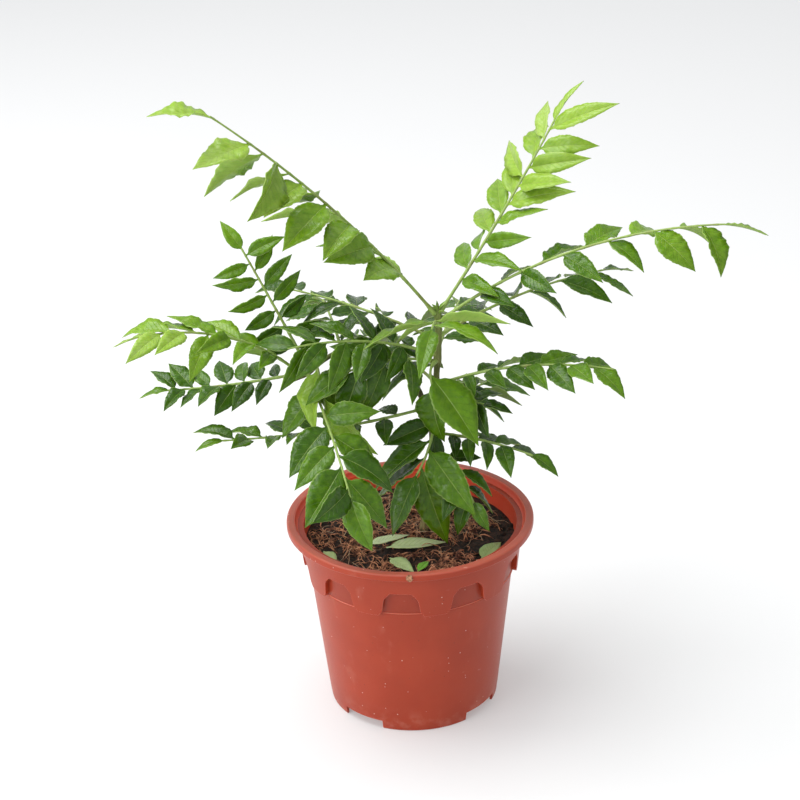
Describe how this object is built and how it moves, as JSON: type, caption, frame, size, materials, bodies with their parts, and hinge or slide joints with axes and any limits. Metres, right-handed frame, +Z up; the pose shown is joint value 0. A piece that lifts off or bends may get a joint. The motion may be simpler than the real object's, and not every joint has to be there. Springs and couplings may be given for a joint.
{
  "type": "potted curry leaf plant",
  "caption": "Young curry leaf plant: arching sprigs of alternate pointed green leaflets on slender stems, growing in the soil of a tapered round plastic nursery pot.",
  "frame": {"origin": "centre of the flat pad in the middle of the pot's underside, on the surface that the pot stands on", "axes": "+Z up along the pot's axis, +X to the right and -Y towards the viewer who faces the plant's front"},
  "size_m": [0.4079, 0.24, 0.4307],
  "materials": {
    "pot_plastic": "terracotta-coloured moulded plastic with a soft sheen",
    "soil": "dark damp potting mix with coir fibres",
    "bark": "green-brown young bark",
    "leaf": "fresh green leaf with a waxy sheen",
    "young_leaf": "young yellow-green leaf with a waxy sheen",
    "fallen_leaf": "pale dry leaf"
  },
  "bodies": {
    "root": {"pot": "pot_plastic", "soil": "soil", "main_stem": "bark", "side_stem": "bark", "sprig_crown_left": "leaf", "sprig_crown_upright": "young_leaf", "sprig_crown_right": "leaf", "sprig_crown_back": "leaf", "sprig_crown_front": "young_leaf", "sprig_crown_dark": "leaf", "sprig_mid_right": "leaf", "sprig_mid_left": "leaf", "sprig_mid_front": "leaf", "sprig_mid_low": "leaf", "sprig_mid_dark": "leaf", "sprig_low_right": "leaf", "sprig_low_front": "leaf", "sprig_low_corner": "leaf", "sprig_low_left": "leaf", "sprig_low_small": "leaf", "sprig_side_up": "leaf", "sprig_side_pale": "young_leaf", "sprig_side_left": "leaf", "sprig_side_front": "leaf", "sprig_side_bright": "young_leaf", "sprig_side_back": "leaf", "sprig_back_high": "leaf", "sprig_back_mid": "leaf", "sprig_back_low": "leaf", "fallen_leaf_1": "fallen_leaf", "fallen_leaf_2": "fallen_leaf", "fallen_leaf_3": "fallen_leaf", "fallen_leaf_4": "fallen_leaf", "fallen_leaf_5": "fallen_leaf"}
  },
  "joints": []
}
